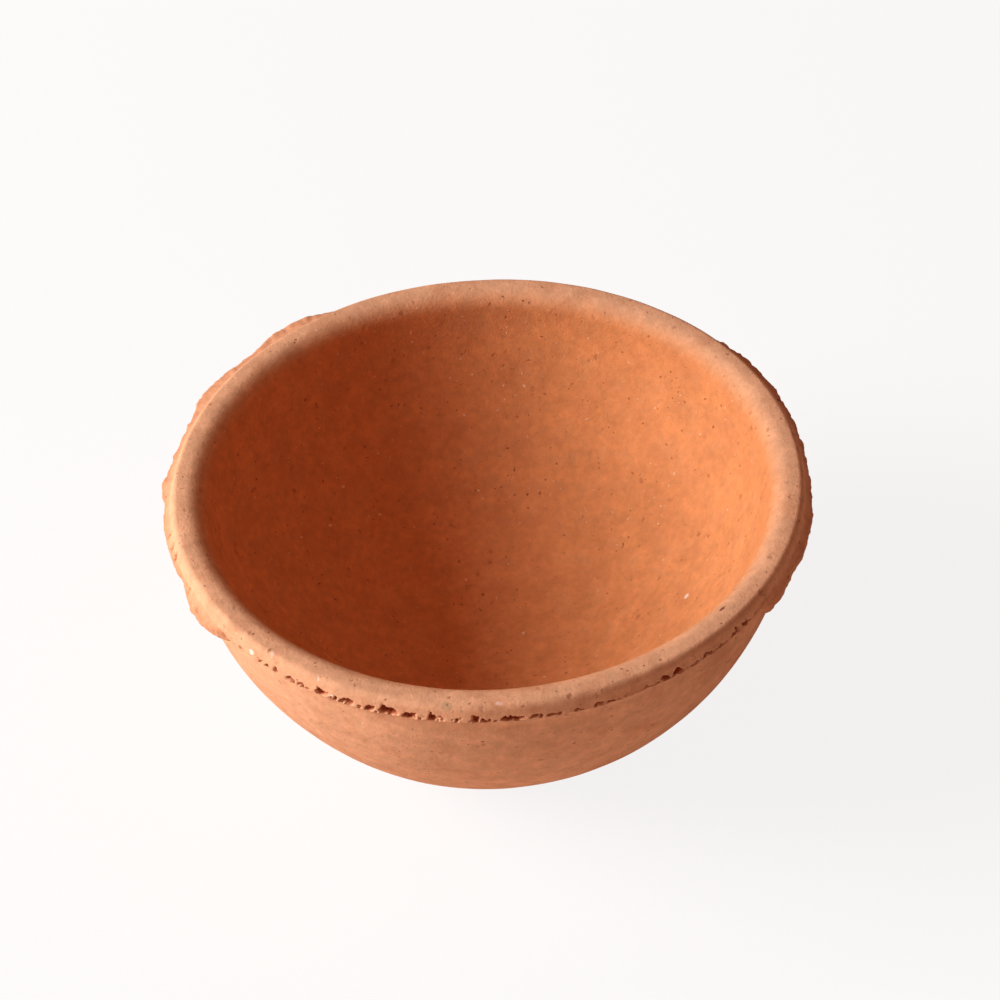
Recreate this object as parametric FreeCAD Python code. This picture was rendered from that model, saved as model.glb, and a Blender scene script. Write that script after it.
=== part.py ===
import FreeCAD, Part
import math
import os
import random

from FreeCAD import Vector

# Small fire-clay melting bowl, pressed in one piece between a female mould and a plunger.
# Millimetres and degrees. The origin is the centre of the foot and +Z is up.
# Azimuth 0 is +X. The flash is broken off flush round azimuth 270, at -Y.

# ---- body, formed by the female mould
BOWL_HEIGHT = 26.5
FOOT_RADIUS = 11.2
FOOT_ROUNDING = 0.6
BODY_RADIUS = 28.2  # at the parting plane

# ---- hollow and rim, formed by the plunger
HOLLOW_DEPTH = 22.4  # below the rim top
CREST_RADIUS = 27.8  # where the inner roll comes level with the rim top
INNER_ROLL = 2.0
CREST_FLAT = 0.7  # level land between the inner roll and the outer shoulder
SHOULDER_WIDTH = 0.7  # outer shoulder, from the land to the collar's face
SHOULDER_HEIGHT = 0.9
COLLAR_DEPTH = 2.7  # rim top to the parting plane
COLLAR_LEAN = 0.15  # how much wider the collar's face is at its foot than at the shoulder
PARTING_LEDGE = 0.12  # ledge between the body and the foot of the collar

# ---- flash, squeezed out at the parting line and torn away by hand
SCAR_HEIGHT = 1.05  # of the sloping break that is left where the flash has come away
FLASH_THICKNESS = 0.55  # at its thin outer edge
FLASH_ROOT = 0.55  # height above the scar at which the collar begins to run out into the flash
TEAR_STEP = 2.0  # degrees between neighbouring tears
TEAR_ROUGHNESS = 0.07

# How far the flash still stands out from the collar's face, at the azimuths where that turns.
# Well below zero there is none left, and the scar of the break shows instead.
FLASH_REACH = (
    (0, 0.5),
    (4, 0.35),
    (14, 0.7),
    (24, 0.9),
    (44, 0.6),
    (62, 1.1),
    (80, 0.7),
    (98, 1.2),
    (112, 0.9),
    (124, 2.4),
    (129, 1.8),
    (141, 1.3),
    (151, 1.8),
    (155, 1.1),
    (163, 0.7),
    (172, 0.7),
    (175, 1.1),
    (177.5, 0.5),
    (190, 0.5),
    (199, 0.15),
    (206, 0.7),
    (212.5, 0.7),
    (215, 0.2),
    (219, -2.0),
    (322, -2.0),
    (325, 0.2),
    (329, 0.45),
    (336, 0.2),
    (341, 0.5),
    (352, 0.6),
    (355, 0.15),
)

# Pockets torn out of the collar along the break: azimuth, length round the rim, depth.
TORN_POCKETS = (
    (221, 0.6, 0.30),
    (229, 0.5, 0.25),
    (239, 1.5, 0.45),
    (244, 1.2, 0.40),
    (251.2, 1.4, 0.70),
    (254.9, 1.0, 0.50),
    (259, 0.6, 0.55),
    (263, 0.5, 0.40),
    (266.8, 1.5, 0.50),
    (272.4, 1.8, 0.75),
    (280, 1.6, 0.40),
    (284.6, 0.8, 0.40),
    (289.5, 1.2, 0.50),
    (299, 0.7, 0.35),
    (303.4, 1.1, 0.65),
    (310, 0.9, 0.55),
    (318.6, 0.7, 0.40),
)
POCKET_HEIGHT = 0.75  # of a pocket's mouth
CHIP_STEP = 2.3  # degrees between the small chips that roughen the rest of the break
CHIP_LENGTH = 0.7
CHIP_HEIGHT = 0.45
CHIP_DEPTH = 0.22

PARTING_Z = BOWL_HEIGHT - COLLAR_DEPTH
SHOULDER_START = CREST_RADIUS + CREST_FLAT
SHOULDER_END = SHOULDER_START + SHOULDER_WIDTH
SHOULDER_Z = BOWL_HEIGHT - SHOULDER_HEIGHT
COLLAR_RADIUS = SHOULDER_END + COLLAR_LEAN
SCAR_RADIUS = BODY_RADIUS + PARTING_LEDGE
SCAR_TOP_Z = PARTING_Z + SCAR_HEIGHT


def at_azimuth(radius, azimuth, z):
    """The point at a radius from the bowl's axis, an azimuth in degrees and a height."""
    angle = math.radians(azimuth)
    return Vector(radius * math.cos(angle), radius * math.sin(angle), z)


def section_point(radius, z):
    """A point of the section, in the XZ plane."""
    return Vector(radius, 0, z)


def line(start, end):
    return Part.LineSegment(start, end).toShape()


def arc_about(centre, start, end):
    """The shorter arc from start to end about a centre."""
    middle = (start + end) * 0.5 - centre
    middle.normalize()
    radius = (start - centre).Length
    return Part.Arc(start, centre + middle * radius, end).toShape()


def revolved(edges):
    """The solid swept by a closed outline in the XZ plane about the Z axis."""
    face = Part.Face(Part.Wire(edges))
    return face.revolve(Vector(0, 0, 0), Vector(0, 0, 1), 360)


def body_edges(foot_centre, wall_top):
    """Foot, its rounded edge and the wall: a ball, centred on the axis, through the wall's top."""
    foot_corner = section_point(FOOT_RADIUS, 0)
    centre_z = (wall_top.dot(wall_top) - foot_corner.dot(foot_corner)) / (2 * PARTING_Z)
    centre = section_point(0, centre_z)
    to_rounding = (foot_corner - centre).Length - FOOT_ROUNDING
    rounding_radius = math.sqrt(to_rounding ** 2 - (centre_z - FOOT_ROUNDING) ** 2)
    rounding_centre = section_point(rounding_radius, FOOT_ROUNDING)
    outward = rounding_centre - centre
    outward.normalize()
    foot_edge = section_point(rounding_radius, 0)
    wall_foot = rounding_centre + outward * FOOT_ROUNDING
    return [
        line(foot_centre, foot_edge),
        arc_about(rounding_centre, foot_edge, wall_foot),
        arc_about(centre, wall_foot, wall_top),
    ]


def collar_edges(wall_top, crest):
    """Ledge, scar of the broken flash, collar face, outer shoulder and level land."""
    scar_foot = section_point(SCAR_RADIUS, PARTING_Z)
    scar_top = section_point(COLLAR_RADIUS, SCAR_TOP_Z)
    face_top = section_point(SHOULDER_END, SHOULDER_Z)
    land_end = section_point(SHOULDER_START, BOWL_HEIGHT)
    half_turn = math.sqrt(0.5)
    shoulder_middle = section_point(
        SHOULDER_START + SHOULDER_WIDTH * half_turn,
        SHOULDER_Z + SHOULDER_HEIGHT * half_turn,
    )
    return [
        line(wall_top, scar_foot),
        line(scar_foot, scar_top),
        line(scar_top, face_top),
        Part.Arc(face_top, shoulder_middle, land_end).toShape(),
        line(land_end, crest),
    ]


def hollow_edges(crest, floor):
    """Inner roll and round-bottomed hollow, tangent to each other and level at both ends."""
    roll_rise = HOLLOW_DEPTH - INNER_ROLL
    radius = (CREST_RADIUS ** 2 + roll_rise ** 2 - INNER_ROLL ** 2) / (2 * HOLLOW_DEPTH)
    centre = floor + Vector(0, 0, radius)
    roll_centre = crest - Vector(0, 0, INNER_ROLL)
    toward_roll = roll_centre - centre
    toward_roll.normalize()
    wall_end = centre + toward_roll * radius
    return [arc_about(roll_centre, crest, wall_end), arc_about(centre, wall_end, floor)]


def make_smooth_bowl():
    """The bowl as the mould leaves it, without its flash: one section turned about the axis."""
    foot_centre = section_point(0, 0)
    wall_top = section_point(BODY_RADIUS, PARTING_Z)
    crest = section_point(CREST_RADIUS, BOWL_HEIGHT)
    floor = section_point(0, BOWL_HEIGHT - HOLLOW_DEPTH)
    edges = body_edges(foot_centre, wall_top)
    edges += collar_edges(wall_top, crest)
    edges += hollow_edges(crest, floor)
    edges.append(line(floor, foot_centre))
    return revolved(edges)


def flash_reach(azimuth):
    """Reach of the flash at an azimuth, eased between the places in FLASH_REACH."""
    places = FLASH_REACH + ((FLASH_REACH[0][0] + 360, FLASH_REACH[0][1]),)
    for (start, first), (end, last) in zip(places, places[1:]):
        if start <= azimuth <= end:
            share = (azimuth - start) / (end - start)
            return first + (last - first) * share * share * (3 - 2 * share)
    return FLASH_REACH[0][1]


def torn_outline():
    """The flash's broken edge seen from above: a closed ring of short straight tears."""
    torn = random.Random(7)
    tear_count = round(360 / TEAR_STEP)
    outline = []
    for index in range(tear_count):
        azimuth = index * 360 / tear_count
        reach = flash_reach(azimuth) + torn.uniform(-TEAR_ROUGHNESS, TEAR_ROUGHNESS)
        outline.append(at_azimuth(COLLAR_RADIUS + reach, azimuth, PARTING_Z))
    return outline


def make_flash():
    """The collar running out into a thin skirt, kept only inside the torn outline."""
    longest = max(reach for _, reach in FLASH_REACH)
    edge_radius = COLLAR_RADIUS + longest + 2 * TEAR_ROUGHNESS
    inner_foot = section_point(0.5 * (CREST_RADIUS + BODY_RADIUS), PARTING_Z)
    edge_foot = section_point(edge_radius, PARTING_Z)
    edge_top = section_point(edge_radius, PARTING_Z + FLASH_THICKNESS)
    root_top = section_point(SHOULDER_END, SCAR_TOP_Z + FLASH_ROOT)
    inner_top = section_point(inner_foot.x, root_top.z)
    run_out_middle = section_point(COLLAR_RADIUS + FLASH_ROOT, 0.5 * (edge_top.z + SCAR_TOP_Z))
    skirt = revolved([
        line(inner_foot, edge_foot),
        line(edge_foot, edge_top),
        Part.Arc(edge_top, run_out_middle, root_top).toShape(),
        line(root_top, inner_top),
        line(inner_top, inner_foot),
    ])
    inside_outline = flat_face(torn_outline()).extrude(Vector(0, 0, COLLAR_DEPTH))
    return skirt.common(inside_outline)


def flat_face(corners):
    return Part.Face(Part.makePolygon(corners + corners[:1]))


def frustum(mouth, bottom):
    """The solid between a polygon and its smaller, parallel copy."""
    faces = [flat_face(mouth), flat_face(bottom)]
    for index in range(len(mouth)):
        faces.append(flat_face([mouth[index - 1], mouth[index], bottom[index], bottom[index - 1]]))
    shell = Part.makeShell(faces)
    shell.sewShape()
    return Part.makeSolid(shell)


def make_pocket(azimuth, length, height, depth, torn):
    """A flat-sided ragged hole, narrowing inwards from a mouth just outside the collar."""
    corner_count = 7
    narrowing = 0.45
    mouth = []
    bottom = []
    for corner in range(corner_count):
        turn = 2 * math.pi * corner / corner_count
        size = torn.uniform(0.75, 1.25)
        along = 0.5 * length * size * math.cos(turn)
        up = 0.5 * height * size * math.sin(turn)
        mouth.append(Vector(COLLAR_RADIUS + 0.5 * depth, along, up))
        bottom.append(Vector(COLLAR_RADIUS - depth, narrowing * along, narrowing * up))
    pocket = frustum(mouth, bottom)
    pocket.translate(Vector(0, 0, SCAR_TOP_Z + height * torn.uniform(-0.2, 0.15)))
    pocket.rotate(Vector(0, 0, 0), Vector(0, 0, 1), azimuth)
    return pocket


def make_pockets():
    """The named torn pockets, and small chips wherever the flash is gone."""
    torn = random.Random(11)
    pockets = [make_pocket(azimuth, length, POCKET_HEIGHT, depth, torn)
               for azimuth, length, depth in TORN_POCKETS]
    for index in range(round(360 / CHIP_STEP)):
        azimuth = (index + torn.uniform(-0.3, 0.3)) * CHIP_STEP
        length = CHIP_LENGTH * torn.uniform(0.6, 1.3)
        depth = CHIP_DEPTH * torn.uniform(0.7, 1.4)
        if flash_reach(azimuth % 360) < 0:
            pockets.append(make_pocket(azimuth, length, CHIP_HEIGHT, depth, torn))
    return pockets


os.makedirs("parts", exist_ok=True)
bowl = make_smooth_bowl().fuse(make_flash()).cut(make_pockets())
print("solids", len(bowl.Solids), "valid", bowl.isValid(), "volume", round(bowl.Volume, 1))
bowl.Solids[0].exportStep("parts/melting_bowl.step")
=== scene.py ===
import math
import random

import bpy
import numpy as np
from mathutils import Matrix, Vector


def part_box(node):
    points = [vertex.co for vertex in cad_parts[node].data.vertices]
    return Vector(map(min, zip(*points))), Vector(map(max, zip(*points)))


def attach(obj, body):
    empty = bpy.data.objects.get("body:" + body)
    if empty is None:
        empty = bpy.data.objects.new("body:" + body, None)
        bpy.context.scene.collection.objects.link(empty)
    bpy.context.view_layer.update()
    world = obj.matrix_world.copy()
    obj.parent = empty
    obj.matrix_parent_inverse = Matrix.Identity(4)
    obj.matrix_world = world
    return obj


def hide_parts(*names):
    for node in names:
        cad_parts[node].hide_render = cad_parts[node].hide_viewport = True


bl_info = {
    "name": "Clay melting bowl",
    "version": (1, 0, 0),
    "blender": (4, 5, 0),
    "location": "3D View > Sidebar > Melting bowl",
    "description": "A pressed fire-clay bowl for melting metal, with the torn flash round its rim",
    "category": "Add Mesh",
}

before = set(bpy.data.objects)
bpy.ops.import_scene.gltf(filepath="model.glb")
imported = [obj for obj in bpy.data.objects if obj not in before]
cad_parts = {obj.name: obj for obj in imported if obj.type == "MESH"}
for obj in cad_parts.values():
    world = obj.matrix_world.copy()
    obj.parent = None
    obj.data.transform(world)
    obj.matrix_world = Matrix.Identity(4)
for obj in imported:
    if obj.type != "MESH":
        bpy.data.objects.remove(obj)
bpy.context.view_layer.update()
NODE_LOW, NODE_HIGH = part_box("melting_bowl")

MM = 0.001

COLUMN_COUNT = 1400  # round the bowl
POLE_RADIUS = 0.4  # mm, of the hollow's last ring round its deepest point

# ---- flash, squeezed out at the parting line and torn away by hand, as on the solid
TEAR_STEP = 2.0  # degrees between neighbouring tears
TEAR_ROUGHNESS = 0.07  # mm
TEAR_SEED = 7

SCAR_MIDDLE = 271.0  # degrees, the middle of the stretch where the flash is gone
SCAR_HALF = 56.0  # degrees

# Reach of the flash from the collar's face in mm, at the azimuths in degrees where that turns.
FLASH_REACH = (
    (0, 0.45), (5, 0.35), (14, 0.75), (24, 1.15), (34, 1.35), (46, 1.1), (62, 1.3), (80, 0.8),
    (98, 1.2), (112, 1.0), (118.5, 1.6), (122, 2.4), (126, 2.4), (131, 2.3), (133, 1.7),
    (136, 1.6), (143, 1.75), (150, 1.85), (152.5, 1.7), (154.5, 1.15), (163, 0.75), (172, 0.85),
    (175, 1.15), (177.5, 0.5), (190, 0.4), (195, 0.1), (199, 0.0), (202, 0.3), (206, 0.6),
    (211, 0.55), (215, 0.0), (219, -2.0), (322, -2.0), (325, 0.2), (329, 0.35), (336, 0.2),
    (341, 0.4), (352, 0.5), (355, 0.35),
)

# Pockets torn out of the collar along the break: azimuth in degrees, length, height, depth in mm.
TORN_POCKETS = (
    (221, 0.6, 0.5, 0.30), (225.5, 0.4, 0.4, 0.25), (229, 0.6, 0.5, 0.30), (232, 0.5, 0.35, 0.25),
    (235, 0.4, 0.5, 0.30), (239, 1.5, 0.75, 0.50), (241.3, 0.5, 0.5, 0.40), (244, 1.3, 0.6, 0.45),
    (248.1, 0.8, 0.6, 0.40), (251.2, 1.5, 0.95, 0.75), (254.9, 1.2, 0.8, 0.50),
    (258.9, 0.8, 0.9, 0.60), (263, 0.5, 0.5, 0.45), (266.2, 0.7, 0.8, 0.55),
    (268.3, 1.0, 0.5, 0.45), (272.6, 1.9, 0.85, 0.80), (276.0, 0.6, 0.4, 0.30),
    (279.4, 0.9, 0.32, 0.30), (283.4, 0.6, 0.32, 0.30), (287.1, 0.6, 0.3, 0.30),
    (289.9, 0.9, 0.4, 0.40), (293.5, 0.5, 0.3, 0.30), (297.6, 0.6, 0.3, 0.30),
    (300.2, 0.6, 0.5, 0.40), (302.8, 1.1, 0.95, 0.70), (306.0, 0.6, 0.3, 0.30),
    (309.4, 1.0, 0.65, 0.60), (312.5, 0.8, 0.4, 0.40), (316.4, 0.9, 0.7, 0.50),
    (319.2, 0.9, 0.6, 0.50), (322.5, 0.6, 0.5, 0.35),
)

CHIP_COUNT = 120  # small chips along the break, between these azimuths
CHIPS_FROM = 218.0
CHIPS_TO = 326.0

# Short nicks across the flash: azimuth in degrees, length, height, depth in mm.
NICKS = (
    (188.2, 0.30, 1.3, 0.45), (191.6, 0.28, 1.1, 0.40), (194.2, 0.32, 1.0, 0.40),
    (203.2, 0.26, 0.6, 0.30), (21.5, 0.45, 1.1, 0.40), (8.0, 0.30, 0.7, 0.25),
)

# Marks on the surface: azimuth, distance from the axis and height in mm, then the mark's
# half length round the bowl, half depth and half height in mm, its colour and its strength.
GRAIN_WHITE = (0.98, 0.90, 0.80)
CHIP_PINK = (0.95, 0.66, 0.55)
SMUDGE_OLIVE = (0.42, 0.33, 0.19)
SLIT_DARK = (0.20, 0.045, 0.018)
MARKS = (
    (223.3, 29.2, 25.4, (0.32, 0.5, 0.36), GRAIN_WHITE, 0.9),
    (227.8, 28.8, 26.4, (0.26, 0.4, 0.3), CHIP_PINK, 0.7),
    (226.9, 28.6, 26.45, (0.16, 0.3, 0.3), SLIT_DARK, 0.6),
    (240.8, 29.3, 25.15, (0.2, 0.4, 0.22), GRAIN_WHITE, 0.7),
    (270.4, 28.6, 26.5, (0.42, 0.2, 0.3), CHIP_PINK, 0.85),
    (270.2, 29.3, 24.75, (0.38, 0.6, 0.14), GRAIN_WHITE, 0.7),
    (261.4, 28.9, 26.3, (0.55, 0.6, 0.5), SMUDGE_OLIVE, 0.45),
    (264.0, 28.95, 26.0, (0.16, 0.4, 0.16), SMUDGE_OLIVE, 0.6),
    (301.9, 29.3, 25.0, (0.45, 0.5, 0.42), CHIP_PINK, 0.45),
    (308.2, 29.3, 24.9, (0.6, 0.6, 0.3), CHIP_PINK, 0.4),
    (317.5, 27.2, 26.4, (0.5, 0.17, 0.4), SLIT_DARK, 0.9),
    (354.9, 18.3, 11.5, (0.28, 0.3, 0.4), GRAIN_WHITE, 0.6),
    (238.0, 28.9, 26.3, (0.15, 0.3, 0.2), GRAIN_WHITE, 0.6),
    (235.6, 27.6, 26.5, (0.13, 0.13, 0.3), SLIT_DARK, 0.8),
)


# ---- light: a soft lamp low on the left, and a dim warm room round it
LAMP_DISTANCE = 0.6  # metres
LAMP_AIM = (0.0, 0.0, 0.018)
KEY_RISE = 27.5  # degrees
KEY_AZIMUTH = 183.0  # degrees
KEY_WIDTH = 0.34  # metres
KEY_LEVEL = 1.3
KEY_TINT = (1.0, 0.97, 0.93)
ROOM_LEVEL = 0.22
ROOM_TINT = (1.0, 0.48, 0.33)
FLOOR_HALF = 1.5  # metres
FLOOR_WHITE = 0.86  # share of the floor that is seen as plain white

# ---- camera, which looks down on the bowl from the front
CAMERA_RISE = 42.935  # degrees
CAMERA_ROLL = -2.749  # degrees
CAMERA_DISTANCE = 0.3  # metres
CAMERA_LENS = 116.9  # mm
CAMERA_SENSOR = 36.0  # mm
CAMERA_ASIDE = 1.101  # mm, its target from the bowl's axis
CAMERA_BELOW_RIM = 3.011  # mm, its target under the rim's top


# ---------------------------------------------------------------- numbers on whole arrays

def eased(share):
    """A smooth step: 3 s squared less 2 s cubed, with s held between 0 and 1."""
    share = np.clip(share, 0.0, 1.0)
    return share * share * (3.0 - 2.0 * share)


def lumps(points, size, seed):
    """Smooth random values between -1 and 1 at points in space.

    Space is cut into cubes of the size, each corner gets a random number, and a point takes
    the eased three-way average of the eight corners round it.
    """
    table = np.random.default_rng(seed).uniform(-1.0, 1.0, 4096)
    cells = points / size
    corner = np.floor(cells).astype(np.int64)
    part = eased(cells - corner)
    total = np.zeros(points.shape[:-1])
    for step in np.ndindex(2, 2, 2):
        at = corner + np.array(step)
        weight = np.prod(np.where(np.array(step) == 1, part, 1.0 - part), axis=-1)
        place = at[..., 0] * 73856093 ^ at[..., 1] * 19349663 ^ at[..., 2] * 83492791
        total += weight * table[place % len(table)]
    return total


def round_the_ring(azimuth, centre):
    """Signed angle in degrees from a centre, the short way round."""
    return (azimuth - centre + 180.0) % 360.0 - 180.0


# ---------------------------------------------------------------- the bowl's section

def arc_rows(centre, start, end, count):
    """Rows along the shorter arc about a centre: the angle goes evenly from start to end.

    The start itself is left out, because the piece before ends there.
    """
    centre, start, end = (np.array(point, dtype=float) for point in (centre, start, end))
    radius = np.hypot(*(start - centre))
    first = math.atan2(start[1] - centre[1], start[0] - centre[0])
    last = math.atan2(end[1] - centre[1], end[0] - centre[0])
    turn = (last - first + math.pi) % (2 * math.pi) - math.pi
    angle = first + turn * np.arange(1, count + 1) / count
    return centre[0] + radius * np.cos(angle), centre[1] + radius * np.sin(angle)


def line_rows(start, end, count):
    """Rows at even steps along a straight line, without its start."""
    share = np.arange(1, count + 1) / count
    return start[0] + (end[0] - start[0]) * share, start[1] + (end[1] - start[1]) * share


def outer_rows(sizes):
    """Foot, its rounded edge and the wall, which is part of a ball centred on the axis."""
    parting_z = sizes.height - sizes.collar_depth
    wall_top = (sizes.body_radius, parting_z)
    centre_z = (wall_top[0] ** 2 + parting_z ** 2 - sizes.foot_radius ** 2) / (2 * parting_z)
    ball = math.hypot(sizes.foot_radius, centre_z)
    rounding = sizes.foot_rounding
    side = math.sqrt((ball - rounding) ** 2 - (centre_z - rounding) ** 2)
    toward = ball / (ball - rounding)
    wall_foot = (side * toward, centre_z + (rounding - centre_z) * toward)
    foot = line_rows((0, 0), (side, 0), 9)
    edge = arc_rows((side, rounding), (side, 0), wall_foot, 4)
    wall = arc_rows((0, centre_z), wall_foot, wall_top, 34)
    return np.concatenate([foot[0], edge[0], wall[0]]), np.concatenate([foot[1], edge[1], wall[1]])


def inner_rows(sizes):
    """Level land, inner roll and the hollow, which is part of a ball tangent to the roll."""
    top, roll = sizes.height, sizes.inner_roll
    rise = sizes.hollow_depth - roll
    ball = (sizes.crest_radius ** 2 + rise ** 2 - roll ** 2) / (2 * sizes.hollow_depth)
    centre_z = top - sizes.hollow_depth + ball
    roll_centre = (sizes.crest_radius, top - roll)
    share = ball / math.hypot(roll_centre[0], roll_centre[1] - centre_z)
    wall_end = (roll_centre[0] * share, centre_z + (roll_centre[1] - centre_z) * share)
    land_end = (sizes.crest_radius + sizes.crest_flat, top)
    land = line_rows(land_end, (sizes.crest_radius, top), 2)
    rolled = arc_rows(roll_centre, (sizes.crest_radius, top), wall_end, 9)
    pole = POLE_RADIUS * MM
    near_floor = (pole, centre_z - math.sqrt(ball ** 2 - pole ** 2))
    hollow = arc_rows((0, centre_z), wall_end, near_floor, 52)
    return (land, rolled, hollow), top - sizes.hollow_depth


# ---------------------------------------------------------------- the torn flash

def flash_reach(azimuth):
    """Reach in metres at each azimuth, eased between the places in FLASH_REACH."""
    places = np.array(FLASH_REACH + ((FLASH_REACH[0][0] + 360, FLASH_REACH[0][1]),), dtype=float)
    after = np.clip(np.searchsorted(places[:, 0], azimuth, side="right"), 1, len(places) - 1)
    before = after - 1
    share = (azimuth - places[before, 0]) / (places[after, 0] - places[before, 0])
    first, last = places[before, 1], places[after, 1]
    return (first + (last - first) * eased(share)) * MM


def torn_radius(azimuth, collar_radius):
    """Radius of the flash's broken edge: straight tears between random corners, gnawed finer.

    The corners are torn as the solid's are. Between them the radius runs straight, with two
    finer layers of random notches on it.
    """
    draws = random.Random(TEAR_SEED)
    count = round(360 / TEAR_STEP)
    corners = np.arange(count + 1) * 360 / count
    rough = np.array([draws.uniform(-TEAR_ROUGHNESS, TEAR_ROUGHNESS) for _ in range(count)]) * MM
    tears = flash_reach(corners % 360) + np.append(rough, rough[0])
    reach = np.interp(azimuth, corners, tears)
    turn = np.radians(azimuth)
    ring = np.stack([np.cos(turn), np.sin(turn), np.zeros_like(turn)], axis=-1) * collar_radius
    notches = 0.06 * lumps(ring, 0.9 * MM, 21) + 0.04 * lumps(ring, 0.35 * MM, 22)
    share = eased(reach / (0.3 * MM))
    return collar_radius + reach + notches * (0.3 + 0.7 * share) * MM


def collar_rows(sizes, azimuth):
    """Section of the collar at every azimuth: ledge, broken edge, flash or scar, face, shoulder.

    Straight runs join corners that depend on how far the flash reaches there. Where it is
    gone, the corners lie on the sloping scar instead, and the two states are blended by the
    reach. Returns radius and height as rows by columns, and how torn each row is.
    """
    top = sizes.height
    parting_z = top - sizes.collar_depth
    shoulder_end = sizes.crest_radius + sizes.crest_flat + sizes.shoulder_width
    collar_radius = shoulder_end + sizes.collar_lean
    ledge_radius = sizes.body_radius + sizes.parting_ledge
    turn = np.radians(azimuth)
    ring = np.stack([np.cos(turn), np.sin(turn), np.zeros_like(turn)], axis=-1) * collar_radius
    waver = (0.13 * lumps(ring, 2.2 * MM, 41) + 0.07 * lumps(ring, 0.7 * MM, 42)) * MM
    scar_top_z = parting_z + sizes.scar_height + waver

    tip = torn_radius(azimuth, collar_radius)
    here = eased((tip - ledge_radius) / (collar_radius - ledge_radius))
    beyond = np.clip(tip - collar_radius, 0.0, None)
    thin = sizes.flash_thickness
    tip_z = parting_z + thin + (sizes.scar_height - thin) * np.exp(-beyond / (0.45 * MM))

    def on_scar(share):
        return (ledge_radius + (collar_radius - ledge_radius) * share,
                parting_z + sizes.scar_height * share)

    def blended(gone, flash):
        return tuple(low + (high - low) * here for low, high in zip(gone, flash))

    low = blended(on_scar(0.3), (tip, parting_z))
    high = blended(on_scar(0.62), (tip, tip_z))
    root = blended((collar_radius, scar_top_z), (collar_radius, scar_top_z + 0.28 * MM))
    face_top = (shoulder_end, top - sizes.shoulder_height)
    flat = np.ones_like(azimuth)

    def run(start, end, count, bow=0.0):
        share = (np.arange(1, count + 1) / count)[:, None]
        radius = start[0] + (end[0] - start[0]) * share
        height = start[1] + (end[1] - start[1]) * share
        sag = bow * 4.0 * share * (1.0 - share)
        return radius * flat, height * flat - sag

    ledge = run((sizes.body_radius, parting_z), (ledge_radius, parting_z), 1)
    under = run((ledge_radius * flat, parting_z * flat), low, 5)
    edge = run(low, high, 8)
    over = run(high, root, 8, bow=0.12 * np.minimum(beyond, 1.0 * MM) * here)
    face = run(root, face_top, 9)
    centre = (shoulder_end - sizes.shoulder_width, face_top[1])
    angle = (np.arange(1, 8) / 7 * math.pi / 2)[:, None]
    shoulder = ((centre[0] + sizes.shoulder_width * np.cos(angle)) * flat,
                (centre[1] + sizes.shoulder_height * np.sin(angle)) * flat)
    runs = (ledge, under, edge, over, face, shoulder)
    torn = np.concatenate([
        np.full(1, 0.0), np.linspace(0.3, 0.8, 5), np.full(8, 1.0), np.linspace(0.9, 0.5, 8),
        np.array([0.35, 0.2, 0.1, 0, 0, 0, 0, 0, 0]), np.zeros(7)])
    return np.concatenate([r[0] for r in runs]), np.concatenate([r[1] for r in runs]), torn


def pit_depth(azimuth, height, points, scar_top_z, collar_radius):
    """How deep the collar is torn away at each place, in metres.

    A pocket is an ellipse on the collar, its sides bent by lumps, and its depth rises eased
    from nothing at the rim of the ellipse. Small chips follow the break between the pockets.
    """
    warp_along = (0.26 * lumps(points, 0.5 * MM, 31) + 0.14 * lumps(points, 0.22 * MM, 32)) * MM
    warp_up = (0.22 * lumps(points, 0.45 * MM, 33) + 0.12 * lumps(points, 0.22 * MM, 34)) * MM
    draws = random.Random(11)
    places = [(place, length, tall, deep, 0.30 * tall + draws.uniform(-0.1, 0.1))
              for place, length, tall, deep in TORN_POCKETS]
    for index in range(CHIP_COUNT):
        place = CHIPS_FROM + (index + draws.uniform(0, 1)) * (CHIPS_TO - CHIPS_FROM) / CHIP_COUNT
        size = 0.12 + 0.4 * draws.uniform(0, 1) ** 2
        places.append((place, size * 1.2, size * 0.9, size * 0.6, draws.uniform(-0.12, 0.25)))
    depth = np.zeros_like(height)
    for place, length, tall, deep, lift in places:
        along = np.radians(round_the_ring(azimuth, place)) * collar_radius + warp_along
        up = height - scar_top_z - lift * MM + warp_up
        inside = 1.0 - (along / (0.55 * length * MM)) ** 2 - (up / (0.55 * tall * MM)) ** 2
        depth = np.maximum(depth, deep * MM * eased(inside * 1.8))
    for place, length, tall, deep in NICKS:
        along = np.radians(round_the_ring(azimuth, place)) * collar_radius + 0.4 * warp_along
        up = height - scar_top_z - 0.1 * MM
        inside = 1.0 - (along / (0.55 * length * MM)) ** 2 - (up / (0.7 * tall * MM)) ** 2
        depth = np.maximum(depth, deep * MM * eased(inside * 1.8))
    return depth


# ---------------------------------------------------------------- from rows to a closed mesh

def column_azimuths(count):
    """Azimuths in degrees of the columns, about twice as close over the scar as elsewhere."""
    fine = np.linspace(0.0, 360.0, 7201)
    crowd = 1.0 + 1.1 * np.exp(-(round_the_ring(fine, SCAR_MIDDLE) / SCAR_HALF) ** 6)
    share = np.concatenate([[0.0], np.cumsum(0.5 * (crowd[1:] + crowd[:-1]))])
    return np.interp(np.arange(count) / count, share / share[-1], fine)


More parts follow.
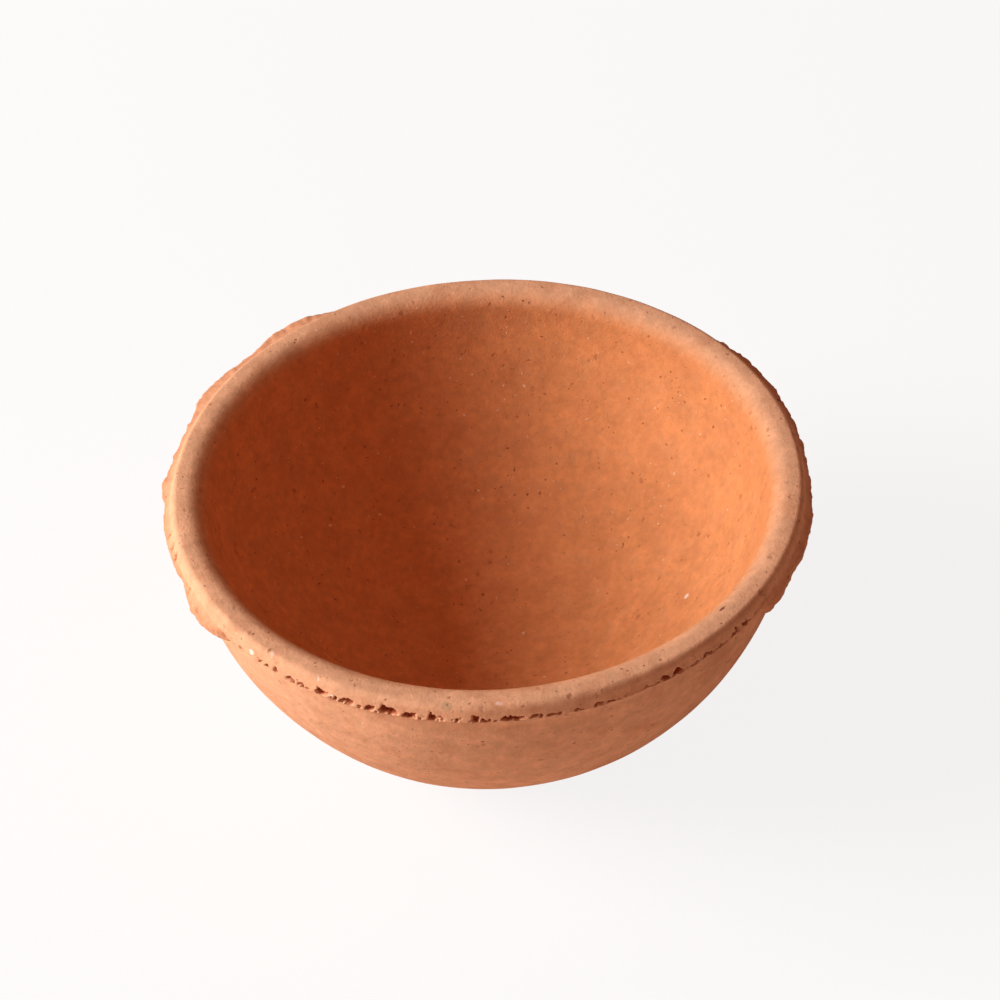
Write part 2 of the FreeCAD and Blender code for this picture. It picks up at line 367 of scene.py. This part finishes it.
def ring_faces(lower, upper):
    """Faces between two closed rings of point numbers, the upper equal, half or double."""
    if len(lower) == len(upper):
        return [np.stack([lower, np.roll(lower, -1), np.roll(upper, -1), upper], axis=1)]
    if len(lower) == 2 * len(upper):
        first, middle, last = lower[0::2], lower[1::2], np.roll(lower[0::2], -1)
        after = np.roll(upper, -1)
        return [np.stack([first, middle, upper], axis=1),
                np.stack([middle, after, upper], axis=1),
                np.stack([middle, last, after], axis=1)]
    first, middle, last = upper[0::2], upper[1::2], np.roll(upper[0::2], -1)
    after = np.roll(lower, -1)
    return [np.stack([lower, middle, first], axis=1),
            np.stack([lower, after, middle], axis=1),
            np.stack([after, last, middle], axis=1)]


def closed_mesh(name, points, strides, first_pole, last_pole, values):
    """One closed surface from rows by columns of points, with a pole at each end.

    Row i keeps every strides[i]-th column. Neighbouring rows are joined by quads where they
    keep the same columns and by triangles where one keeps half. Values are named rows by
    columns of numbers that go along as point attributes.
    """
    rings, used, start = [], [], 1
    for row, stride in zip(points, strides):
        kept = row[::stride]
        rings.append(np.arange(start, start + len(kept)))
        used.append(kept)
        start += len(kept)
    spots = np.concatenate([[first_pole]] + used + [[last_pole]])
    faces = []
    for lower, upper in zip(rings, rings[1:]):
        faces += ring_faces(lower, upper)
    near, far = rings[0], rings[-1]
    faces.append(np.stack([np.zeros_like(near), np.roll(near, -1), near], axis=1))
    faces.append(np.stack([far, np.roll(far, -1), np.full_like(far, start)], axis=1))
    corners = np.concatenate([block.ravel() for block in faces])
    sizes = np.concatenate([np.full(len(block), block.shape[1]) for block in faces])
    mesh = bpy.data.meshes.new(name)
    mesh.vertices.add(len(spots))
    mesh.vertices.foreach_set("co", spots.astype(np.float32).ravel())
    mesh.loops.add(len(corners))
    mesh.loops.foreach_set("vertex_index", corners.astype(np.int32))
    mesh.polygons.add(len(sizes))
    mesh.polygons.foreach_set("loop_start", (np.cumsum(sizes) - sizes).astype(np.int32))
    mesh.update(calc_edges=True)
    mesh.validate()
    mesh.shade_smooth()
    for label, grid in values.items():
        flat = np.concatenate([row[::stride] for row, stride in zip(grid, strides)])
        flat = np.concatenate([[grid[0, 0]], flat, [grid[-1, 0]]])
        layer = mesh.attributes.new(label, "FLOAT", "POINT")
        layer.data.foreach_set("value", flat.astype(np.float32))
    return mesh


def outward_normals(points):
    """Unit normals of the grid: the step round the ring crossed with the step along the section."""
    round_step = np.roll(points, -1, axis=1) - np.roll(points, 1, axis=1)
    along_step = np.gradient(points, axis=0)
    normals = np.cross(round_step, along_step)
    return normals / np.maximum(np.linalg.norm(normals, axis=-1, keepdims=True), 1e-12)


def bowl_mesh(sizes):
    """The whole bowl: its section carried round the axis, then pushed in along its normals.

    The push is smooth lumps on the pressed faces and finer ones, in and out, where it is torn.
    The pits go in straight towards the axis. Nothing is left outside the solid's box.
    """
    azimuth = column_azimuths(COLUMN_COUNT)
    flat = np.ones(COLUMN_COUNT)
    outer = outer_rows(sizes)
    collar_r, collar_z, collar_torn = collar_rows(sizes, azimuth)
    (land, rolled, hollow), floor_z = inner_rows(sizes)
    radius = np.concatenate([outer[0][:, None] * flat, collar_r] + [
        part[0][:, None] * flat for part in (land, rolled, hollow)])
    height = np.concatenate([outer[1][:, None] * flat, collar_z] + [
        part[1][:, None] * flat for part in (land, rolled, hollow)])
    counts = [len(outer[0]), len(collar_r), len(land[0]), len(rolled[0]), len(hollow[0])]
    strides = [4] * (counts[0] - 3) + [2] * 3 + [1] * counts[1]
    strides += [2] * (counts[2] + counts[3]) + [4] * counts[4]
    turn = np.radians(azimuth)
    ray = np.stack([np.cos(turn), np.sin(turn), np.zeros(COLUMN_COUNT)], axis=-1)
    points = radius[..., None] * ray + height[..., None] * np.array([0.0, 0.0, 1.0])

    torn = np.zeros_like(radius)
    collar = slice(counts[0], counts[0] + counts[1])
    torn[collar] = collar_torn[:, None]
    bare = eased((-flash_reach(azimuth)) / (0.5 * MM))
    torn[collar] *= 1.0 - 0.35 * bare
    inside = np.zeros_like(radius)
    first = counts[0] + counts[1] + counts[2]
    inside[first:] = eased((np.arange(len(radius) - first) + 1) / (counts[3] + 1))[:, None]

    normals = outward_normals(points)
    above_foot = eased(height / (1.0 * MM))
    sunk = 0.05 * (1 + lumps(points, 8.0 * MM, 1)) + 0.018 * (1 + lumps(points, 2.2 * MM, 2))
    rough = 0.08 * lumps(points, 0.5 * MM, 3) + 0.045 * lumps(points, 0.22 * MM, 4)
    push = (sunk * above_foot * (1.0 - torn) + rough * torn) * MM
    points = points - normals * push[..., None]

    scar_top_z = sizes.height - sizes.collar_depth + sizes.scar_height
    collar_radius = (sizes.crest_radius + sizes.crest_flat + sizes.shoulder_width
                     + sizes.collar_lean)
    pit = np.zeros_like(radius)
    pit[collar] = pit_depth(azimuth, height[collar], points[collar], scar_top_z, collar_radius)
    points = points - ray * pit[..., None]
    spare = np.array([0.01, 0.01, 0.0]) * MM
    points = np.clip(points, np.array(NODE_LOW) + spare, np.array(NODE_HIGH) - spare)
    # The torn, hollow and pit values also set where the material paints shade: on the break, over the
    # hollow and deep in the pockets.
    values = {"torn": torn, "hollow": inside, "pit": np.clip(pit / (0.4 * MM), 0, 1)}
    under, floor = np.array([0.0, 0.0, 0.0]), np.array([0.0, 0.0, floor_z])
    return closed_mesh("fired_clay_bowl", points, strides, under, floor, values)


# ---------------------------------------------------------------- materials

def add_node(tree, kind, settings=None, **inputs):
    """A node of a kind, its settings, and its inputs given as values or as sockets to link.

    An input is named by its socket's name, with _ for a space, or in1, in2 for its number.
    """
    made = tree.nodes.new("ShaderNode" + kind)
    for key, value in (settings or {}).items():
        setattr(made, key, value)
    for key, value in inputs.items():
        number = key[2:] if key.startswith("in") and key[2:].isdigit() else None
        socket = made.inputs[int(number)] if number else made.inputs[key.replace("_", " ")]
        if isinstance(value, bpy.types.NodeSocket):
            tree.links.new(value, socket)
        else:
            socket.default_value = value
    return made


def math_node(tree, operation, first, second=0.0, third=0.0, clamp=False):
    """The result of one Math node on up to three values or sockets."""
    made = add_node(tree, "Math", {"operation": operation, "use_clamp": clamp},
                    in0=first, in1=second, in2=third)
    return made.outputs[0]


def flecks(tree, coords, cell, share, radius, stretch=1.0, turn=(0.0, 0.0, 0.0), soft=0.05):
    """Mask of scattered flecks.

    Space is cut into random cells of the size in mm. In a share of the cells the fleck is
    what lies nearer to the cell's own point than a random size, from 0.4 of the radius up to
    the whole of it, in cells.
    """
    per_metre = 1000.0 / cell
    placed = add_node(tree, "Mapping", Vector=coords, Rotation=turn,
                      Scale=(per_metre / stretch, per_metre, per_metre))
    cells = add_node(tree, "TexVoronoi", {"feature": "F1"}, Vector=placed.outputs[0], Scale=1.0)
    split = add_node(tree, "SeparateColor", Color=cells.outputs["Color"])
    size = ramp(tree, split.outputs[0], 1.0 - share, 1.0, 0.4 * radius, radius)
    edge = math_node(tree, "SUBTRACT", size, cells.outputs["Distance"])
    mask = math_node(tree, "MULTIPLY", edge, 1.0 / soft, clamp=True)
    chosen = math_node(tree, "GREATER_THAN", split.outputs[0], 1.0 - share)
    return math_node(tree, "MULTIPLY", mask, chosen)


def strongest(tree, masks):
    """The highest of several masks at each place."""
    result = masks[0]
    for mask in masks[1:]:
        result = math_node(tree, "MAXIMUM", result, mask)
    return result


def mixed(tree, share, first, second, blend="MIX"):
    """A colour that goes from the first to the second by the share."""
    made = add_node(tree, "Mix", {"data_type": "RGBA", "blend_type": blend}, Factor=share)
    for socket, value in ((made.inputs[6], first), (made.inputs[7], second)):
        if isinstance(value, bpy.types.NodeSocket):
            tree.links.new(value, socket)
        else:
            socket.default_value = (*value, 1.0)[:4]
    return made.outputs[2]


def ramp(tree, value, low, high, out_low, out_high):
    """The value carried in a straight line from one range to another, and held at its ends."""
    made = add_node(tree, "MapRange", {"clamp": True}, Value=value, From_Min=low, From_Max=high,
                    To_Min=out_low, To_Max=out_high)
    return made.outputs[0]


def mark_mask(tree, coords, azimuth, radius, height, half_sizes):
    """Mask of one mark: 1 inside an ellipsoid that is turned to follow the bowl, eased at its rim."""
    turn = math.radians(azimuth)
    placed = add_node(
        tree, "Mapping", {"vector_type": "TEXTURE"}, Vector=coords,
        Location=(radius * MM * math.cos(turn), radius * MM * math.sin(turn), height * MM),
        Rotation=(0.0, 0.0, turn + math.pi / 2), Scale=tuple(half * MM for half in half_sizes))
    away = add_node(tree, "VectorMath", {"operation": "LENGTH"}, in0=placed.outputs[0])
    return ramp(tree, away.outputs["Value"], 0.65, 1.0, 1.0, 0.0)


def clay_material(look):
    """Unglazed fired clay: mottled, specked dark and pale, with a fine gritty skin, and painted shade
    deep in the torn pockets, on the break and over the hollow.
    """
    material = bpy.data.materials.new("fired_clay")
    material.use_nodes = True
    tree = material.node_tree
    tree.nodes.clear()
    coords = add_node(tree, "TexCoord").outputs["Object"]

    def noise(scale_mm, detail, rough=0.5):
        return add_node(tree, "TexNoise", Vector=coords, Scale=1000.0 / scale_mm,
                        Detail=detail, Roughness=rough)

    hollow = add_node(tree, "Attribute", {"attribute_name": "hollow"}).outputs["Fac"]
    torn = add_node(tree, "Attribute", {"attribute_name": "torn"}).outputs["Fac"]
    pit = add_node(tree, "Attribute", {"attribute_name": "pit"}).outputs["Fac"]

    bend = add_node(tree, "VectorMath", {"operation": "SUBTRACT"},
                    in0=noise(0.32, 2).outputs["Color"], in1=(0.5, 0.5, 0.5)).outputs[0]
    bend = add_node(tree, "VectorMath", {"operation": "SCALE"}, in0=bend, Scale=0.0005).outputs[0]
    ragged = add_node(tree, "VectorMath", {"operation": "ADD"}, in0=coords, in1=bend).outputs[0]

    def level_of(scale_mm, detail, low, high, out_low, out_high, rough=0.6):
        return ramp(tree, noise(scale_mm, detail, rough=rough).outputs["Fac"], low, high,
                    out_low, out_high)

    grit = noise(0.8, 4, rough=0.7).outputs["Fac"]
    skin = noise(0.22, 2, rough=0.6).outputs["Fac"]
    shade = math_node(tree, "MULTIPLY", level_of(7.0, 3, 0.3, 0.7, 0.93, 1.05),
                      ramp(tree, grit, 0.3, 0.7, 0.88, 1.10))
    shade = math_node(tree, "MULTIPLY", shade, level_of(2.0, 3, 0.32, 0.68, 0.91, 1.07))
    # The hollow's colour is darker and redder than the outside's: partly the clay, partly painted
    # shade of the deep hollow.
    base = mixed(tree, hollow, look.outside_colour, look.hollow_clay_and_shade_colour)
    base = mixed(tree, 1.0, base, shade, "MULTIPLY")
    base = mixed(tree, level_of(3.1, 4, 0.5, 0.76, 0.0, 0.55, 0.7), base, look.rust_colour)
    tan = math_node(tree, "MULTIPLY", level_of(1.9, 3, 0.48, 0.72, 0.0, 0.40),
                    ramp(tree, hollow, 0.0, 1.0, 1.0, 0.35))
    base = mixed(tree, tan, base, look.tan_colour)
    # Painted shade: the torn rows, the break and the underside of the flash, are darkened towards the
    # torn colour.
    base = mixed(tree, math_node(tree, "MULTIPLY", torn, 0.6), base, look.torn_shade_colour)

    dark = strongest(tree, [
        math_node(tree, "MULTIPLY", flecks(tree, ragged, 1.25, 0.34, 0.30, soft=0.20), 0.75),
        flecks(tree, ragged, 0.62, 0.22, 0.27, turn=(0.5, 0.1, 0.3), soft=0.10),
        flecks(tree, ragged, 0.80, 0.22, 0.14, 3.0, (0.4, 0.5, 0.8), soft=0.06),
    ])
    pale = strongest(tree, [
        flecks(tree, ragged, 1.0, 0.26, 0.17, turn=(0.3, 0.1, 0.2), soft=0.06),
        flecks(tree, ragged, 0.55, 0.20, 0.20, turn=(0.7, 0.2, 0.4), soft=0.08),
        flecks(tree, ragged, 0.70, 0.34, 0.085, 5.0, (0.2, 0.6, 0.9), soft=0.04),
        flecks(tree, ragged, 0.70, 0.34, 0.085, 6.0, (0.3, -0.8, 2.2), soft=0.04),
    ])
    dark_strength = math_node(tree, "MULTIPLY", dark, level_of(4.0, 2, 0.35, 0.62, 0.25, 0.75))
    pale_strength = math_node(tree, "MULTIPLY", pale, level_of(5.0, 2, 0.38, 0.62, 0.12, 0.85))
    colour = mixed(tree, dark_strength, base, look.dark_colour)
    colour = mixed(tree, pale_strength, colour, look.pale_colour)
    # Painted shade: the clay goes towards the pit colour as the torn pockets get deeper.
    colour = mixed(tree, ramp(tree, pit, 0.15, 0.9, 0.0, 0.9), colour, look.pit_shade_colour)
    for azimuth, radius, height, half_sizes, tint, strength in MARKS:
        mask = mark_mask(tree, ragged, azimuth, radius, height, half_sizes)
        colour = mixed(tree, math_node(tree, "MULTIPLY", mask, strength), colour, tint)

    level = math_node(tree, "MULTIPLY_ADD", grit, 1.6, math_node(tree, "MULTIPLY", skin, 0.7))
    level = math_node(tree, "MULTIPLY_ADD", pale, 0.45, level)
    level = math_node(tree, "MULTIPLY_ADD", dark, -1.0, level)
    level = math_node(tree, "MULTIPLY", level, ramp(tree, hollow, 0.0, 1.0, 0.75, 0.85))
    bump = add_node(tree, "Bump", Strength=0.7, Distance=0.00008, Height=level)
    shader = add_node(tree, "BsdfPrincipled", Base_Color=colour, Roughness=0.88,
                      Normal=bump.outputs[0])
    shader.inputs["Specular IOR Level"].default_value = 0.35
    out = add_node(tree, "OutputMaterial")
    tree.links.new(shader.outputs[0], out.inputs[0])
    return material


def floor_material(shade):
    """Pale paper: seen straight on it is mostly plain white, with the bowl's shadow on it."""
    material = bpy.data.materials.new("pale_paper")
    material.use_nodes = True
    tree = material.node_tree
    tree.nodes.clear()
    seen = add_node(tree, "LightPath").outputs["Is Camera Ray"]
    paper = add_node(tree, "BsdfDiffuse", Color=mixed(tree, seen, shade, (1.0, 1.0, 1.0)))
    white = add_node(tree, "Emission", Color=(1.0, 1.0, 1.0, 1.0), Strength=1.0)
    both = add_node(tree, "MixShader", in0=math_node(tree, "MULTIPLY", seen, FLOOR_WHITE))
    tree.links.new(paper.outputs[0], both.inputs[1])
    tree.links.new(white.outputs[0], both.inputs[2])
    out = add_node(tree, "OutputMaterial")
    tree.links.new(both.outputs[0], out.inputs[0])
    return material


# ---------------------------------------------------------------- settings, operators, panel

def length(name, description, default):
    """A property that holds a length in metres."""
    return bpy.props.FloatProperty(name=name, description=description, default=default, min=0.0,
                                   precision=5, unit="LENGTH", subtype="DISTANCE")


def colour(name, description, default):
    """A property that holds a colour."""
    return bpy.props.FloatVectorProperty(name=name, description=description, default=default,
                                         size=3, min=0.0, max=1.0, subtype="COLOR")


class BowlSizes(bpy.types.PropertyGroup):
    """Sizes of the bowl, the same as the solid's."""

    height: length("Height", "From the foot to the rim's top", NODE_HIGH[2] - NODE_LOW[2])
    foot_radius: length("Foot radius", "Where the wall's ball meets the foot", 11.2 * MM)
    foot_rounding: length("Foot rounding", "Rounding of the foot's edge", 0.6 * MM)
    body_radius: length("Body radius", "Of the wall under the collar", 28.2 * MM)
    hollow_depth: length("Hollow depth", "From the rim's top to the hollow's floor", 22.4 * MM)
    crest_radius: length("Crest radius", "Where the inner roll comes level", 27.8 * MM)
    inner_roll: length("Inner roll", "Radius of the rim's inner roll", 2.0 * MM)
    crest_flat: length("Crest flat", "Width of the level land", 0.7 * MM)
    shoulder_width: length("Shoulder width", "Of the outer shoulder", 0.7 * MM)
    shoulder_height: length("Shoulder height", "Of the outer shoulder", 0.9 * MM)
    collar_depth: length("Collar depth", "From the rim's top to the parting plane", 2.7 * MM)
    collar_lean: length("Collar lean", "How much wider the collar is at its foot", 0.15 * MM)
    parting_ledge: length("Parting ledge", "Between the body and the collar", 0.12 * MM)
    scar_height: length("Scar height", "Of the sloping break", 1.05 * MM)
    flash_thickness: length("Flash thickness", "At its thin outer edge", 0.55 * MM)


class BowlLook(bpy.types.PropertyGroup):
    """Colours of the clay. The hollow colour is partly painted shade; the torn edge and pit colours
    are painted shade.
    """

    outside_colour: colour("Outside", "Clay of the wall and rim", (0.91, 0.49, 0.29))
    # Hollow colour: partly the clay, partly painted shade of the deep hollow.
    hollow_clay_and_shade_colour: colour("Hollow", "Clay of the hollow", (0.74, 0.285, 0.105))
    torn_shade_colour: colour("Torn edge", "Clay that shows where it is torn", (0.72, 0.30, 0.15))
    # Torn edge colour: painted shade on the break and under the flash.
    rust_colour: colour("Rust", "Redder patches of the clay", (0.62, 0.22, 0.09))
    tan_colour: colour("Tan", "Duller, browner patches of the clay", (0.66, 0.36, 0.20))
    # Pit colour: painted shade deep in the torn pockets.
    pit_shade_colour: colour("Pits", "Deep in the torn pockets", (0.42, 0.075, 0.02))
    dark_colour: colour("Dark specks", "Iron-rich specks and small holes", (0.27, 0.065, 0.022))
    pale_colour: colour("Pale grains", "Grains of grog and short fibres", (0.95, 0.72, 0.52))
    paper_colour: colour("Floor", "Pale paper that it stands on", (0.88, 0.73, 0.63))


class MELTINGBOWL_OT_bowl(bpy.types.Operator):
    """Make the fired clay bowl, with its torn flash"""

    bl_idname = "melting_bowl.bowl"
    bl_label = "Bowl"

    def execute(self, context):
        mesh = bowl_mesh(context.scene.melting_bowl_sizes)
        mesh.materials.append(clay_material(context.scene.melting_bowl_look))
        piece = bpy.data.objects.new("fired_clay_bowl", mesh)
        context.scene.collection.objects.link(piece)
        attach(piece, "root")
        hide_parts("melting_bowl")
        return {"FINISHED"}


def add_lamp(name, aim, rise, azimuth, width, level, tint):
    """A square soft lamp that faces an aim, from an elevation and azimuth in degrees.

    The level is how bright white paper at the aim, square to the lamp, comes out, so the
    power in watts is the level times pi squared times the distance squared.
    """
    lamp = bpy.data.lights.new(name, "AREA")
    lamp.shape = "SQUARE"
    lamp.size = width
    lamp.energy = level * (math.pi * LAMP_DISTANCE) ** 2
    lamp.color = tint
    rise, azimuth = math.radians(rise), math.radians(azimuth)
    toward = Vector((math.cos(rise) * math.cos(azimuth), math.cos(rise) * math.sin(azimuth),
                     math.sin(rise)))
    holder = bpy.data.objects.new(name, lamp)
    holder.location = Vector(aim) + toward * LAMP_DISTANCE
    holder.rotation_euler = (-toward).to_track_quat("-Z", "Y").to_euler()
    bpy.context.scene.collection.objects.link(holder)


class MELTINGBOWL_OT_stage(bpy.types.Operator):
    """Make the floor, the lamps, the world and the camera"""

    bl_idname = "melting_bowl.stage"
    bl_label = "Stage"

    def execute(self, context):
        scene = context.scene
        side = FLOOR_HALF
        floor_mesh = bpy.data.meshes.new("floor")
        floor_mesh.from_pydata([(-side, -side, 0), (side, -side, 0), (side, side, 0),
                                (-side, side, 0)], [], [(0, 1, 2, 3)])
        floor = bpy.data.objects.new("floor", floor_mesh)
        floor_mesh.materials.append(floor_material(scene.melting_bowl_look.paper_colour))
        scene.collection.objects.link(floor)

        add_lamp("key_lamp", LAMP_AIM, KEY_RISE, KEY_AZIMUTH, KEY_WIDTH, KEY_LEVEL, KEY_TINT)

        world = bpy.data.worlds.new("studio")
        world.use_nodes = True
        tree = world.node_tree
        tree.nodes.clear()
        seen = add_node(tree, "LightPath").outputs["Is Camera Ray"]
        strength = ramp(tree, seen, 0.0, 1.0, ROOM_LEVEL, 1.0)
        tint = mixed(tree, seen, ROOM_TINT, (1.0, 1.0, 1.0))
        dome = add_node(tree, "Background", Color=tint, Strength=strength)
        out = add_node(tree, "OutputWorld")
        tree.links.new(dome.outputs[0], out.inputs[0])
        scene.world = world

        rise = math.radians(CAMERA_RISE)
        roll = math.radians(CAMERA_ROLL)
        back = Vector((0.0, -math.cos(rise), math.sin(rise)))
        flat_right = Vector((1.0, 0.0, 0.0))
        flat_up = Vector((0.0, math.sin(rise), math.cos(rise)))
        right = flat_right * math.cos(roll) + flat_up * math.sin(roll)
        up = flat_up * math.cos(roll) - flat_right * math.sin(roll)
        target = Vector((CAMERA_ASIDE * MM, 0.0, NODE_HIGH[2] - CAMERA_BELOW_RIM * MM))
        lens = bpy.data.cameras.new("camera")
        lens.lens = CAMERA_LENS
        lens.sensor_width = CAMERA_SENSOR
        lens.clip_start = 0.01
        lens.clip_end = 10.0
        camera = bpy.data.objects.new("camera", lens)
        turned = Matrix((right, up, back)).transposed().to_4x4()
        camera.matrix_world = Matrix.Translation(target + back * CAMERA_DISTANCE) @ turned
        scene.collection.objects.link(camera)
        scene.camera = camera
        scene.view_settings.view_transform = "Standard"
        return {"FINISHED"}


class MELTINGBOWL_PT_panel(bpy.types.Panel):
    """Sizes and colours of the bowl, and the buttons that make it"""

    bl_idname = "MELTINGBOWL_PT_panel"
    bl_label = "Melting bowl"
    bl_space_type = "VIEW_3D"
    bl_region_type = "UI"
    bl_category = "Melting bowl"

    def draw(self, context):
        for settings in (context.scene.melting_bowl_sizes, context.scene.melting_bowl_look):
            column = self.layout.column(align=True)
            for name in settings.__annotations__:
                column.prop(settings, name)
        self.layout.operator(MELTINGBOWL_OT_bowl.bl_idname)
        self.layout.operator(MELTINGBOWL_OT_stage.bl_idname)


CLASSES = (BowlSizes, BowlLook, MELTINGBOWL_OT_bowl, MELTINGBOWL_OT_stage, MELTINGBOWL_PT_panel)


def register():
    for cls in CLASSES:
        bpy.utils.register_class(cls)
    bpy.types.Scene.melting_bowl_sizes = bpy.props.PointerProperty(type=BowlSizes)
    bpy.types.Scene.melting_bowl_look = bpy.props.PointerProperty(type=BowlLook)


def unregister():
    del bpy.types.Scene.melting_bowl_look
    del bpy.types.Scene.melting_bowl_sizes
    for cls in reversed(CLASSES):
        bpy.utils.unregister_class(cls)


def main():
    register()
    bpy.ops.melting_bowl.bowl()
    bpy.ops.melting_bowl.stage()


if __name__ == "__main__":
    main()
